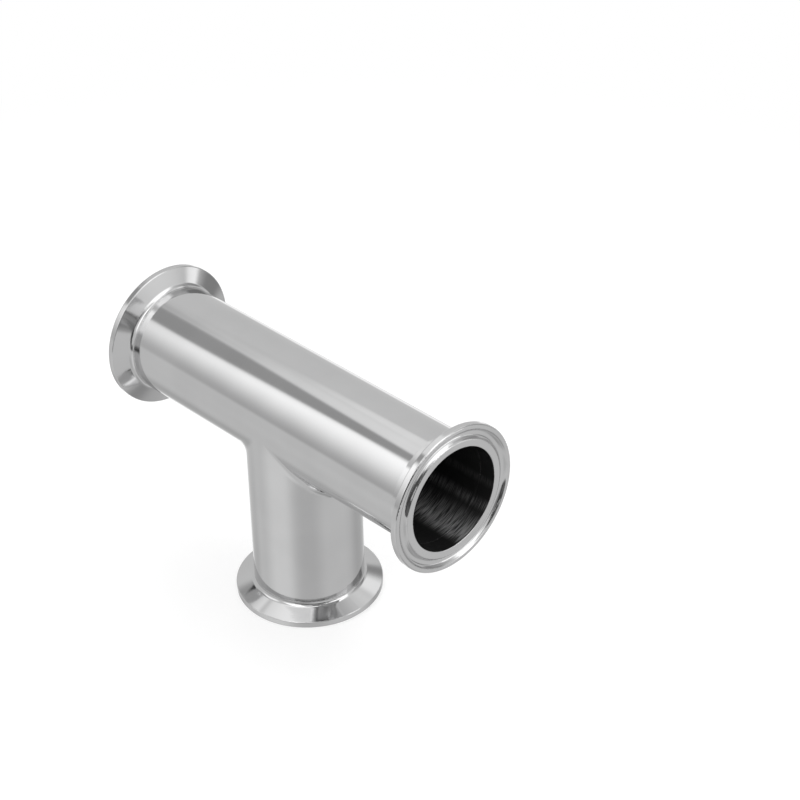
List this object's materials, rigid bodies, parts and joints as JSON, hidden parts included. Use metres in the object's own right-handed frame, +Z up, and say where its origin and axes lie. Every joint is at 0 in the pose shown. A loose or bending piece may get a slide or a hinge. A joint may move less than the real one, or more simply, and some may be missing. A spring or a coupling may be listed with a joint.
{
  "type": "sanitary clamp tee",
  "caption": "Polished stainless tube tee with a grooved clamp ferrule welded to each end, for clean piping.",
  "frame": {"origin": "centre of the branch ferrule's sealing face, which the tee stands on", "axes": "+X along the run towards its front ferrule, +Z up along the branch towards the run"},
  "size_m": [0.14, 0.0506, 0.0962],
  "materials": {
    "tube_steel": "polished outside, ground bore",
    "ferrule_steel": "turned and polished"
  },
  "bodies": {
    "root": {"tee_body": "tube_steel", "run_ferrule_front": "ferrule_steel", "run_ferrule_rear": "ferrule_steel", "branch_ferrule": "ferrule_steel"}
  },
  "joints": []
}
